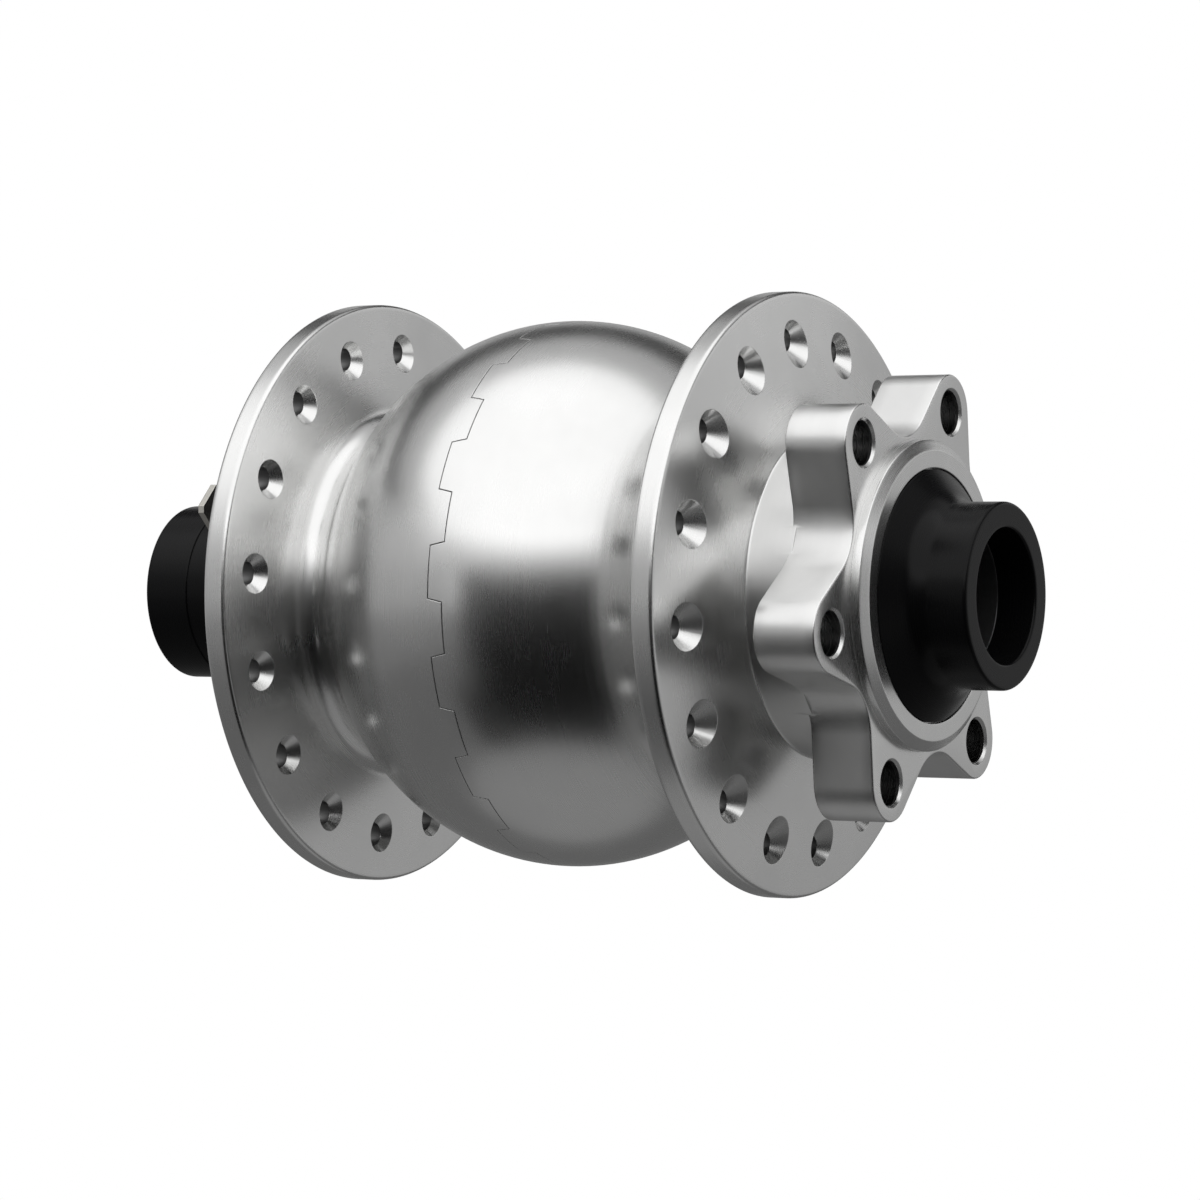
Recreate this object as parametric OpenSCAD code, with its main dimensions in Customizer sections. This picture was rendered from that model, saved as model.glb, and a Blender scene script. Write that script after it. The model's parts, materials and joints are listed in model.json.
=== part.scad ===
// Bicycle front hub with a built-in claw-pole dynamo, for a disc brake and a 15 mm through axle.
// The hub's axis is Y: the brake disc's side is +Y and the connector side is -Y. +Z is up and +X is forward.
// The origin is midway between the two end faces. All angles are measured from +Z towards +X.
// The axle, the stator and the inner races stand still in the fork. The shell, the flux ring,
// the magnets and the outer races turn round them on two ball bearings.

/* [Overall] */
// Length over the two end faces, which is the fork's inner width
hub_len = 110; // [107:0.5:113]
// Bore of the hollow axle
axle_bore_d = 15; // [14:0.1:15.4]
// How far each axle end stands back inside its end cap
axle_inset = 4.7; // [4:0.1:5.5]
// Distance from the end face to the face that the brake disc is bolted to
disc_inset = 10.5; // [10:0.1:11]

/* [Flanges] */
// Flange diameter
flange_d = 68.9; // [67:0.1:72]
// Distance between the middles of the two rims
flange_spacing = 55.9; // [54.5:0.1:57.5]
// Width of the rim
rim_w = 2.7; // [2.2:0.1:3.2]
// Radius of the rim's edges
rim_edge_r = 0.4; // [0.2:0.05:0.6]
// How far the outer face rises from the rim to the boss
outer_rise = 2.7; // [2:0.1:3.2]
// How far the inner face rises from the rim to the neck
inner_rise = 1; // [0.6:0.1:1.4]
// Spoke holes in each flange
spoke_count = 16; // [14:1:18]
// Diameter of the circle that the spoke holes lie on
spoke_pcd = 58; // [57:0.1:60]
// Spoke hole diameter
spoke_hole_d = 2.6; // [2.3:0.1:2.9]
// Countersink diameter on the outer face
sink_outer_d = 5.3; // [4.8:0.1:6]
// Countersink diameter on the inner face
sink_inner_d = 4.6; // [4.2:0.1:5.4]
// Angle of the first spoke hole of the disc side, with the other side half a pitch on
spoke_phase = 6.4; // [0:0.1:22]

/* [Barrel] */
// Largest diameter of the barrel
barrel_d = 63.7; // [62.5:0.1:66]
// Radius of the barrel's profile
barrel_arc_r = 27.4; // [26.8:0.1:28.4]
// Fillet between the barrel and the flange
neck_fillet_r = 2.1; // [1.6:0.1:2.6]
// Wall left outside the corners of the flux ring
barrel_wall = 2; // [1.7:0.1:2.4]
// Wall of the barrel beside the flux ring
shell_wall = 2.6; // [2.4:0.1:3]
// Depth of the teeth that lock the two halves of the shell
tooth_depth = 1.8; // [1.2:0.1:2.6]
// How far each side of a tooth leans
tooth_lean = 0.4; // [0:0.05:0.8]
// Middle of the seam, measured from the hub's centre towards the disc
seam_shift = 0.2; // [-1:0.1:1]
// Gap that shows as the seam line
seam_gap = 0.1; // [0.05:0.01:0.2]

/* [Disc mount] */
// Bolt circle diameter
disc_pcd = 44; // [43:0.1:45]
// Number of bolts
disc_bolts = 6; // [5:1:6]
// Angle of the first bolt
disc_phase = -19.8; // [-30:0.1:30]
// Bolt thread's outer diameter
thread_d = 5; // [4.5:0.1:5.5]
// Diameter over the tips of the lobes
lobe_reach_d = 52.6; // [51.6:0.1:53.6]
// Radius of a lobe's tip
lobe_tip_r = 4.5; // [4.2:0.1:4.8]
// Diameter across the bottoms of the valleys
valley_d = 36.3; // [35.8:0.1:36.7]
// Radius of a valley
valley_r = 6.4; // [6:0.1:6.8]
// Thickness of the lobes
lobe_t = 7.5; // [6.5:0.1:8.5]
// Diameter of the boss between the flange and the lobes
boss_d = 36.8; // [36.7:0.1:38]
// Diameter of the ring that centres the brake disc
pilot_d = 34.9; // [34.5:0.1:35.4]
// Height of that ring
pilot_h = 1.7; // [1.4:0.1:2]
// Height of the ring's chamfer
pilot_chamfer_h = 0.7; // [0.4:0.1:1]
// Width of the ring's chamfer
pilot_chamfer_w = 1.2; // [0.8:0.1:1.5]

/* [Bearings] */
// Bore of the connector side's bearing
left_bore_d = 20; // [19.8:0.1:20.4]
// Outer diameter of the connector side's bearing
left_od = 32; // [31.4:0.1:32.6]
// Width of the connector side's bearing
left_w = 7; // [6.6:0.1:7.4]
// Ball diameter of the connector side's bearing
left_ball_d = 3.5; // [3.3:0.1:3.6]
// Balls in the connector side's bearing
left_balls = 13; // [11:1:14]
// Bore of the disc side's bearing
right_bore_d = 17; // [16.8:0.1:17.4]
// Outer diameter of the disc side's bearing
right_od = 26; // [25.6:0.1:26.4]
// Width of the disc side's bearing
right_w = 5; // [4.8:0.1:5.4]
// Ball diameter of the disc side's bearing
right_ball_d = 2.6; // [2.4:0.1:2.7]
// Balls in the disc side's bearing
right_balls = 15; // [13:1:16]
// Height of the shoulder that each outer race rests against
seat_step = 1.5; // [1.2:0.1:1.7]
// Length of the shell's boss on the connector side
left_boss_len = 7.2; // [6.8:0.1:7.6]
// Depth of the shell's mouth outside each bearing
mouth_depth = 1; // [0.9:0.1:1.2]
// Wall of the shell behind the disc side's bearing
right_web_t = 4.2; // [3:0.1:5]

/* [Generator] */
// Length of the flux ring
ring_len = 20; // [18:0.1:21]
// Thickness of the flux ring
ring_t = 1.8; // [1.5:0.1:2.1]
// Length of the magnets
magnet_len = 19; // [17:0.1:20]
// Thickness of the magnets
magnet_t = 2.5; // [2.2:0.1:2.8]
// Gap between neighbouring magnets
magnet_gap = 0.3; // [0.1:0.05:0.6]
// Pairs of poles, with one magnet for each pole
pole_pairs = 13; // [11:1:14]
// Air gap between the magnets and the claws
air_gap = 0.4; // [0.35:0.05:0.6]
// Length over the two claw plates
stator_len = 21.8; // [21:0.1:23]
// Thickness of a claw plate
claw_t = 2.1; // [1.8:0.1:2.4]
// Thickness of a claw's finger
finger_t = 1.7; // [1.4:0.1:2]
// Width of a finger at its root
finger_root_w = 5.6; // [5:0.1:6]
// Width of a finger at its tip
finger_tip_w = 2.8; // [2.4:0.1:3.2]
// Space between a finger's tip and the outer face of the other plate
finger_short = 0.5; // [0.3:0.1:1]
// Wall of the stator's core
core_t = 1.4; // [1.2:0.05:1.6]
// Wall of the coil's bobbin
bobbin_t = 0.7; // [0.5:0.05:0.9]
// Depth of the bobbin that the winding leaves free
winding_free = 0.4; // [0.2:0.1:0.8]
// Thickness of the nut that clamps the stator
nut_t = 3.2; // [2.6:0.1:4]
// Diameter of that nut
nut_d = 26.4; // [25.5:0.1:27.5]
// Width of the key between the axle and the stator
key_w = 2; // [1.6:0.1:2.4]
// Length of the key
key_len = 12; // [8:0.5:14]

/* [Ends] */
// Diameter of both ends where they sit in the fork
cap_d = 21; // [20.6:0.1:21.3]
// Depth of the fork's recess round each end
recess_depth = 6; // [5:0.1:6.5]
// Bore of the end caps
cap_bore_d = 15.2; // [15.1:0.05:15.5]
// Diameter of the disc side cap's skirt
skirt_d = 28.3; // [27.9:0.1:28.4]
// Diameter of the connector side between the fork and the hub
contact_ring_d = 20.7; // [20.4:0.1:20.9]
// Distance from the end face to the inner end of the connector side's cap
left_cap_len = 8.7; // [8.2:0.1:9.2]
// Diameter of the contact ring's skirt over the bearing
contact_skirt_d = 32; // [31.2:0.1:32.1]
// Distance from the end face to the middle of the spade contacts
spade_inset = 10; // [9.9:0.1:11]
// Width of a spade contact
spade_w = 4.8; // [4.2:0.1:5.4]
// Thickness of a spade contact
spade_t = 0.8; // [0.5:0.1:0.9]
// Diameter over the tips of the spade contacts
spade_reach_d = 33; // [30:0.1:36]
// Diameter of the hole in a spade contact
spade_hole_d = 1.4; // [1:0.1:1.8]
// Angle of each spade contact from the vertical
spade_angle = 45; // [35:1:60]
// Thickness of the leads from the coil
lead_d = 0.9; // [0.7:0.05:1]

/* [Fits] */
// Radial gap between pieces that are pressed or bonded together
press_gap = 0.02; // [0.01:0.005:0.04]
// Radial gap between a ball and its races
ball_gap = 0.03; // [0.02:0.005:0.06]
// Radial gap between the pieces that slip over the axle
slip_gap = 0.05; // [0.03:0.01:0.1]
// Gap between a turning piece and a fixed piece beside it
run_gap = 0.3; // [0.25:0.05:0.4]

/* [Hidden] */
$fn = 96;
// How far a cut runs clear past a face
over = 1;
// How far two shapes that are joined reach into each other
lap = 0.2;

// Places along the axis, from the hub's centre outwards
end_y = hub_len/2;
axle_end_y = end_y - axle_inset;
disc_y = end_y - disc_inset;
pilot_y = disc_y + pilot_h;
lobe_y = disc_y - lobe_t;
rim_in_y = (flange_spacing - rim_w)/2;
rim_out_y = (flange_spacing + rim_w)/2;
boss_y = rim_out_y + outer_rise;
left_boss_y = boss_y + left_boss_len;
left_face_y = left_boss_y - mouth_depth;
right_face_y = pilot_y - mouth_depth;

// Radii of the shell
flange_r = flange_d/2;
boss_r = boss_d/2;
barrel_r = barrel_d/2;
arc_x = barrel_r - barrel_arc_r;
function barrel_at(y) = arc_x + sqrt(barrel_arc_r*barrel_arc_r - y*y);
seat_r = barrel_at(ring_len/2) - barrel_wall;
tunnel_r = left_od/2 - seat_step;
right_tunnel_r = right_od/2 - seat_step;
// Gap round the cap's skirt, in the shell's mouth
mouth_gap = 0.15;
right_mouth_r = skirt_d/2 + mouth_gap;
left_mouth_r = contact_skirt_d/2 + run_gap;

// Where the neck's fillet touches the flange's inner face, found for a flat face at the neck
neck_y = rim_in_y - inner_rise;
fillet_y = neck_y - neck_fillet_r;
fillet_x = arc_x + sqrt(pow(barrel_arc_r + neck_fillet_r, 2) - fillet_y*fillet_y);

// The seam
seam_lo = seam_shift - tooth_depth/2;
seam_hi = seam_shift + tooth_depth/2;
// How far a half section runs past the hub's middle, so that it holds the seam's teeth
past_mid = abs(seam_shift) + tooth_depth + over;
tooth_half_w = barrel_r*sin(90/spoke_count);
spoke_pitch = 360/spoke_count;
right_phase = spoke_phase;
left_phase = spoke_phase + spoke_pitch/2;

// The generator, from the flux ring inwards
magnet_out_r = seat_r - press_gap - ring_t - press_gap;
magnet_in_r = magnet_out_r - magnet_t;
claw_r = magnet_in_r - air_gap;
finger_in_r = claw_r - finger_t;
plate_r = finger_in_r - 2*air_gap;
axle_r = left_bore_d/2 - press_gap;
axle_end_r = right_bore_d/2 - press_gap;
stator_bore_r = axle_r + slip_gap;
core_r = stator_bore_r + core_t;
plate_in_y = stator_len/2 - claw_t;
bobbin_bore_r = core_r + slip_gap;
bobbin_r = plate_r - air_gap;
bobbin_half = plate_in_y - slip_gap;
coil_in_r = bobbin_bore_r + bobbin_t + press_gap;
coil_r = bobbin_r - winding_free;
// The axle's collar, which the stator is clamped against
collar_w = 2.2;
collar_rise = 1.5;
collar_r = axle_r + collar_rise;
nut_y = stator_len/2 + press_gap;

// The leads, in grooves along the axle, with a little room on each side
lead_r = lead_d/2;
lead_room = 0.2;
groove_w = lead_d + 2*lead_room;
groove_rise = 0.25;
groove_floor_r = axle_end_r + groove_rise;
lead_run_r = groove_floor_r + lead_r + lead_room/2;
lead_exit_y = bobbin_half - bobbin_t - lead_d;
lead_angles = [spade_angle, -spade_angle];

// The key, sunk in the axle and standing out into the core
key_sink = 1;
key_rise = 0.9;
key_floor_r = axle_r - key_sink;
key_top_r = axle_r + key_rise;

// The spade contacts
spade_y = end_y - spade_inset;
spade_tip_r = spade_reach_d/2;
spade_root_gap = 0.6;
spade_root_r = axle_end_r + slip_gap + spade_root_gap;
spade_clip = 0.6;
spade_hole_inset = 3;

// The ends
cap_r = cap_d/2;
cap_bore_r = cap_bore_d/2;
cap_seat_r = axle_end_r + slip_gap;
left_cap_y = end_y - left_cap_len;
cap_edge = 0.4;
skirt_r = skirt_d/2;
skirt_drop = 0.05;
skirt_edge_y = pilot_y - skirt_drop;
skirt_back_y = right_face_y + run_gap;
cone_gap = 0.2;
cone_top_y = end_y - recess_depth - cone_gap;
cone_fillet_r = 3;
o_ring_r = 0.42;
o_ring_mid_r = cap_seat_r + o_ring_r;
o_ring_inset = 2;
o_ring_y = axle_end_y - o_ring_inset;
o_ring_groove_w = 1.2;

// Bearings. Each is worked out from its bore, outer diameter, width and ball diameter.
// The shares are parts of the ball's diameter.
land_share = 0.26;
cage_share = 0.62;
cage_gap = 0.24;
pocket_gap = 0.08;
function pitch_r(bore, od) = (bore + od)/4;
function inner_land_r(bore, od, ball) = pitch_r(bore, od) - land_share*ball;
function outer_land_r(bore, od, ball) = pitch_r(bore, od) + land_share*ball;
left_mid_y = left_face_y - left_w/2;
right_mid_y = right_face_y - right_w/2;

// Turns a shape that is drawn along Z so that it lies along the hub's axis
module along_hub() {
    rotate([-90, 0, 0]) children();
}

// Puts a shape at an angle and a radius, with its own X pointing outwards
module at(angle, r = 0, y = 0) {
    rotate([0, 0, angle - 90]) translate([r, 0, y]) children();
}

// A tube or a ring between two places along the axis
module ring(r_in, r_out, y0, y1) {
    translate([0, 0, y0]) difference() {
        cylinder(h = y1 - y0, r = r_out);
        translate([0, 0, -over]) cylinder(h = y1 - y0 + 2*over, r = r_in);
    }
}

// A block at an angle, from one radius to another
module bar(angle, r0, r1, w, y0, y1) {
    at(angle) translate([r0, -w/2, y0]) cube([r1 - r0, w, y1 - y0]);
}

// Half section of the outer form of one side, from the middle of the hub out to its boss.
// X is the radius, and Y runs outwards along the axis.
module side_section() {
    // the barrel, as far as the fillet
    intersection() {
        translate([arc_x, 0]) circle(r = barrel_arc_r, $fn = 180);
        translate([0, -past_mid]) square([barrel_r, fillet_y + past_mid]);
    }
    // the neck, with the fillet cut out of it
    difference() {
        translate([0, fillet_y/2]) square([fillet_x, neck_y - fillet_y/2 + lap]);
        translate([fillet_x, fillet_y]) circle(r = neck_fillet_r);
        neck_corner();
    }
    flange_section();
}

// The corner outside the barrel's arc and the fillet, up to where the two touch
module neck_corner() {
    slope = atan2(fillet_y, fillet_x - arc_x);
    touch = [arc_x + barrel_arc_r*cos(slope), barrel_arc_r*sin(slope)];
    difference() {
        polygon([[arc_x, 0], touch, [fillet_x, fillet_y], [fillet_x + over, 0]]);
        translate([arc_x, 0]) circle(r = barrel_arc_r, $fn = 180);
    }
}

// The flange, with round edges on its rim
module flange_section() {
    e = rim_edge_r;
    polygon([[0, neck_y], [fillet_x, neck_y], [flange_r - e, rim_in_y], [flange_r, rim_in_y + e],
        [flange_r, rim_out_y - e], [flange_r - e, rim_out_y], [boss_r, boss_y], [0, boss_y]]);
    for (y = [rim_in_y + e, rim_out_y - e]) translate([flange_r - e, y]) circle(r = e);
}

// Half section of the space inside the barrel, up to the bearing's tunnel
module cavity_section(to_y) {
    intersection() {
        translate([arc_x, 0]) circle(r = barrel_arc_r - shell_wall, $fn = 180);
        translate([0, -past_mid]) square([barrel_r, fillet_y + past_mid]);
    }
    translate([0, -past_mid]) square([seat_r, ring_len/2 + past_mid]);
    translate([0, -past_mid]) square([tunnel_r, to_y + past_mid]);
}

// Spoke holes of one flange, with a countersink at each end
module spoke_holes(phase) {
    y_in = rim_in_y - inner_rise*(flange_r - spoke_pcd/2)/(flange_r - fillet_x);
    y_out = rim_out_y + outer_rise*(flange_r - spoke_pcd/2)/(flange_r - boss_r);
    depth_in = (sink_inner_d - spoke_hole_d)/2;
    depth_out = (sink_outer_d - spoke_hole_d)/2;
    for (k = [0:spoke_count - 1]) at(phase + k*spoke_pitch, spoke_pcd/2) {
        translate([0, 0, y_in - over]) cylinder(h = y_out - y_in + 2*over, d = spoke_hole_d, $fn = 32);
        translate([0, 0, y_out - depth_out])
            cylinder(h = depth_out + over, d1 = spoke_hole_d, d2 = sink_outer_d + 2*over, $fn = 40);
        translate([0, 0, y_in - over])
            cylinder(h = depth_in + over, d1 = sink_inner_d + 2*over, d2 = spoke_hole_d, $fn = 40);
    }
}

// The disc side's teeth at the seam, which the other half is cut to fit
module seam_teeth(gap) {
    root = tooth_half_w + tooth_lean/2 + gap;
    crest = tooth_half_w - tooth_lean/2 + gap;
    lean = tooth_lean/tooth_depth;
    for (k = [0:spoke_count - 1]) at(left_phase + k*spoke_pitch, seat_r - over)
        rotate([90, 0, 90]) linear_extrude(height = barrel_r - seat_r + 2*over)
            polygon([[-crest + lean*gap, seam_lo - gap], [crest - lean*gap, seam_lo - gap],
                [root + lean*over, seam_hi + over], [-root - lean*over, seam_hi + over]]);
}

// The star of lobes that carries the brake disc
module lobe_star() {
    tip_x = lobe_reach_d/2 - lobe_tip_r;
    valley_x = valley_d/2 + valley_r;
    half = 180/disc_bolts;
    tip = [tip_x, 0];
    valley = [valley_x*cos(half), valley_x*sin(half)];
    gap = valley - tip;
    bearing = atan2(gap[1], gap[0]) - acos((lobe_tip_r + valley_r)/norm(gap));
    // each straight side ends just inside the two arcs that it joins
    tuck = 0.01;
    on_tip = tip + (lobe_tip_r - tuck)*[cos(bearing), sin(bearing)];
    on_valley = valley - (valley_r - tuck)*[cos(bearing), sin(bearing)];
    difference() {
        union() {
            circle(d = valley_d - lap);
            for (k = [0:disc_bolts - 1]) rotate(disc_phase - 90 + k*2*half) {
                polygon([[0, 0], [on_valley[0], -on_valley[1]], [on_tip[0], -on_tip[1]], on_tip, on_valley]);
                polygon([[0, 0], on_valley,
                    [on_valley[0]*cos(2*half) + on_valley[1]*sin(2*half),
                     on_valley[0]*sin(2*half) - on_valley[1]*cos(2*half)]]);
                translate(tip) circle(r = lobe_tip_r);
            }
        }
        for (k = [0:disc_bolts - 1]) rotate(disc_phase - 90 + (2*k + 1)*half)
            translate([valley_x, 0]) circle(r = valley_r);
    }
}

// Threaded holes for the disc bolts, with a small chamfer at each mouth
module disc_holes() {
    chamfer = 0.3;
    for (k = [0:disc_bolts - 1]) at(disc_phase + k*360/disc_bolts, disc_pcd/2) {
        translate([0, 0, lobe_y - over]) cylinder(h = lobe_t + 2*over, d = thread_d, $fn = 48);
        translate([0, 0, disc_y - chamfer])
            cylinder(h = 2*chamfer, d1 = thread_d, d2 = thread_d + 4*chamfer, $fn = 48);
    }
}

// Half section of the ring that centres the brake disc
module pilot_section() {
    r = pilot_d/2;
    polygon([[0, lobe_y], [r, lobe_y], [r, pilot_y - pilot_chamfer_h], [r - pilot_chamfer_w, pilot_y],
        [0, pilot_y]]);
}

module right_shell() {
    color("silver") along_hub() difference() {
        union() {
            rotate_extrude($fn = 180) intersection() {
                side_section();
                translate([0, seam_hi]) square([flange_r + over, boss_y + over]);
            }
            intersection() {
                rotate_extrude($fn = 180) intersection() {
                    side_section();
                    translate([0, seam_lo]) square([flange_r, seam_hi - seam_lo + lap]);
                }
                seam_teeth(0);
            }
            translate([0, 0, boss_y - over]) cylinder(h = lobe_y - boss_y + over, r = boss_r);
            translate([0, 0, lobe_y]) linear_extrude(height = lobe_t) lobe_star();
            rotate_extrude() pilot_section();
        }
        rotate_extrude($fn = 180) cavity_section(right_face_y - right_w - right_web_t);
        cylinder(h = end_y, r = right_tunnel_r);
        translate([0, 0, right_face_y - right_w]) cylinder(h = end_y, r = right_od/2);
        translate([0, 0, right_face_y]) cylinder(h = end_y, r = right_mouth_r);
        spoke_holes(right_phase);
        disc_holes();
    }
}

module left_shell() {
    color("silver") along_hub() difference() {
        union() {
            mirror([0, 0, 1]) rotate_extrude($fn = 180) intersection() {
                side_section();
                translate([0, seam_gap - seam_hi]) square([flange_r + over, boss_y + 2*over]);
            }
            translate([0, 0, -left_boss_y]) cylinder(h = left_boss_len + over, r = boss_r);
        }
        seam_teeth(seam_gap);
        mirror([0, 0, 1]) {
            rotate_extrude($fn = 180) cavity_section(left_face_y);
            translate([0, 0, left_face_y - left_w]) cylinder(h = end_y, r = left_od/2);
            translate([0, 0, left_face_y]) cylinder(h = end_y, r = left_mouth_r);
            spoke_holes(left_phase);
        }
    }
}

module flux_ring() {
    color("dimgray") along_hub()
        ring(seat_r - press_gap - ring_t, seat_r - press_gap, press_gap - ring_len/2, ring_len/2 - press_gap);
}

// One magnet for each pole: a ring cut through between the poles
module magnets() {
    poles = 2*pole_pairs;
    color("slategray") along_hub() difference() {
        ring(magnet_in_r, magnet_out_r, -magnet_len/2, magnet_len/2);
        for (k = [0:poles - 1])
            bar((k + 0.5)*360/poles, magnet_in_r - over, magnet_out_r + over, magnet_gap,
                -magnet_len/2 - over, magnet_len/2 + over);
    }
}

// One claw pole of the stator: a plate with fingers that reach over the coil, drawn for the +Y side
module claw_pole(phase) {
    root_y = stator_len/2;
    tip_y = finger_short - stator_len/2;
    lean = (finger_root_w - finger_tip_w)/2/(root_y - tip_y);
    tip = finger_tip_w/2 - lean*over;
    root = finger_root_w/2 + lean*over;
    intersection() {
        rotate_extrude() polygon([[stator_bore_r, plate_in_y], [finger_in_r, plate_in_y], [finger_in_r, tip_y],
            [claw_r, tip_y], [claw_r, root_y], [stator_bore_r, root_y]]);
        union() {
            translate([0, 0, plate_in_y - over]) cylinder(h = claw_t + 2*over, r = plate_r);
            for (k = [0:pole_pairs - 1]) at(phase + k*360/pole_pairs, plate_r - over)
                rotate([90, 0, 90]) linear_extrude(height = claw_r - plate_r + 2*over)
                    polygon([[-tip, tip_y - over], [tip, tip_y - over], [root, root_y + over],
                        [-root, root_y + over]]);
        }
    }
}

module right_claw_pole() {
    color("lightsteelblue") along_hub() claw_pole(0);
}

module left_claw_pole() {
    color("lightsteelblue") along_hub() mirror([0, 0, 1]) claw_pole(180/pole_pairs);
}

// Holes through which the two leads leave the coil
module lead_holes(r_out) {
    for (a = lead_angles) at(a, axle_r - over, -lead_exit_y)
        rotate([0, 90, 0]) cylinder(h = r_out - axle_r + over, r = lead_r + slip_gap, $fn = 32);
}

module stator_core() {
    color("gray") along_hub() difference() {
        ring(stator_bore_r, core_r, press_gap - plate_in_y, plate_in_y - press_gap);
        bar(180, axle_r - over, key_top_r + slip_gap, key_w + 2*slip_gap,
            -key_len/2 - slip_gap, key_len/2 + slip_gap);
        lead_holes(core_r + over);
    }
}

module stator_key() {
    color("darkgray") along_hub()
        bar(180, key_floor_r + slip_gap, key_top_r, key_w, -key_len/2, key_len/2);
}

module coil_bobbin() {
    color("ivory") along_hub() difference() {
        union() {
            ring(bobbin_bore_r, bobbin_bore_r + bobbin_t, -bobbin_half, bobbin_half);
            ring(bobbin_bore_r, bobbin_r, -bobbin_half, bobbin_t - bobbin_half);
            ring(bobbin_bore_r, bobbin_r, bobbin_half - bobbin_t, bobbin_half);
        }
        lead_holes(bobbin_bore_r + bobbin_t + over);
    }
}

module coil_winding() {
    half = bobbin_half - bobbin_t - press_gap;
    color("peru") along_hub() ring(coil_in_r, coil_r, -half, half);
}

module stator_nut() {
    slot_w = 3;
    slot_depth = 1.2;
    color("darkgray") along_hub() difference() {
        ring(axle_r + press_gap, nut_d/2, -nut_y - nut_t, -nut_y);
        for (k = [0:3])
            bar(k*90, nut_d/2 - slot_depth, nut_d/2 + over, slot_w, -nut_y - nut_t - over, over - nut_y);
    }
}

module left_spacer() {
    wall = 1.6;
    color("silver") along_hub()
        ring(axle_r + slip_gap, axle_r + slip_gap + wall, left_w - left_face_y + press_gap,
            -nut_y - nut_t - press_gap);
}

module axle_tube() {
    chamfer = 0.3;
    bore_r = axle_bore_d/2;
    shoulder_y = right_face_y - right_w;
    color("silver") along_hub() difference() {
        union() {
            translate([0, 0, chamfer - axle_end_y])
                cylinder(h = 2*axle_end_y - 2*chamfer, r = axle_end_r);
            for (side = [0, 1]) mirror([0, 0, side]) translate([0, 0, axle_end_y - chamfer])
                cylinder(h = chamfer, r1 = axle_end_r, r2 = axle_end_r - chamfer);
            translate([0, 0, -left_face_y]) cylinder(h = left_face_y + shoulder_y, r = axle_r);
            translate([0, 0, nut_y]) cylinder(h = collar_w, r = collar_r);
        }
        translate([0, 0, -end_y]) cylinder(h = 2*end_y, r = bore_r);
        for (a = lead_angles)
            bar(a, groove_floor_r, collar_r, groove_w, -left_face_y - over, groove_w/2 - lead_exit_y);
        bar(180, key_floor_r, collar_r, key_w + 2*slip_gap, -key_len/2 - slip_gap, key_len/2 + slip_gap);
    }
}

// A lead from the coil: out through the core, along the axle's groove and on to its spade contact
module lead(angle) {
    run_end = spade_y - spade_t/2 - slip_gap;
    at(angle, lead_run_r, -run_end) cylinder(h = run_end - lead_exit_y, r = lead_r, $fn = 32);
    at(angle, lead_run_r, -lead_exit_y) {
        sphere(r = lead_r, $fn = 32);
        rotate([0, 90, 0]) cylinder(h = coil_in_r - lead_run_r - slip_gap, r = lead_r, $fn = 32);
    }
}

module live_lead() {
    color("firebrick") along_hub() lead(lead_angles[0]);
}

module return_lead() {
    color("darkslategray") along_hub() lead(lead_angles[1]);
}

// A flat plug-in contact with clipped corners and a hole for the socket's catch
module spade(angle) {
    w = spade_w/2;
    at(angle, 0, -spade_y - spade_t/2) linear_extrude(height = spade_t) difference() {
        polygon([[spade_root_r, -w], [spade_tip_r - spade_clip, -w], [spade_tip_r, spade_clip - w],
            [spade_tip_r, w - spade_clip], [spade_tip_r - spade_clip, w], [spade_root_r, w]]);
        translate([spade_tip_r - spade_hole_inset, 0]) circle(d = spade_hole_d, $fn = 32);
    }
}

module live_spade() {
    color("lightgray") along_hub() spade(lead_angles[0]);
}

module return_spade() {
    color("lightgray") along_hub() spade(lead_angles[1]);
}

// The moulded ring that holds the contacts and covers the bearing, drawn outwards along the axis
module contact_ring() {
    r = contact_ring_d/2;
    hub_r = inner_land_r(left_bore_d, left_od, left_ball_d);
    skirt_y = left_face_y + run_gap;
    skirt_t = 0.9;
    cove_r = 1.2;
    color("#1b1b1d") along_hub() difference() {
        mirror([0, 0, 1]) rotate_extrude() difference() {
            polygon([[cap_seat_r, left_face_y + press_gap], [hub_r, left_face_y + press_gap], [hub_r, skirt_y],
                [contact_skirt_d/2, skirt_y], [contact_skirt_d/2, skirt_y + skirt_t],
                [r + cove_r, skirt_y + skirt_t], [r + cove_r, skirt_y + skirt_t + cove_r],
                [r, skirt_y + skirt_t + cove_r], [r, left_cap_y - press_gap],
                [cap_seat_r, left_cap_y - press_gap]]);
            translate([r + cove_r, skirt_y + skirt_t + cove_r]) circle(r = cove_r, $fn = 48);
        }
        for (a = lead_angles) {
            bar(a, spade_root_r - slip_gap, contact_skirt_d/2 + over, spade_w + 2*slip_gap,
                -spade_y - spade_t/2 - slip_gap, spade_t/2 + slip_gap - spade_y);
            bar(a, cap_seat_r - over, lead_run_r + lead_r + slip_gap, groove_w,
                -spade_y - spade_t/2 - slip_gap, over - left_face_y);
        }
    }
}

// Half section of the space in an end cap for the axle's end and the O-ring
module cap_bore_section() {
    square([cap_seat_r, axle_end_y + slip_gap]);
    square([cap_bore_r, end_y + over]);
    translate([0, o_ring_y - o_ring_groove_w/2])
        square([o_ring_mid_r + o_ring_r + slip_gap, o_ring_groove_w]);
    polygon([[0, end_y - cap_edge], [cap_bore_r, end_y - cap_edge], [cap_bore_r + cap_edge + over, end_y + over],
        [0, end_y + over]]);
}

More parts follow.
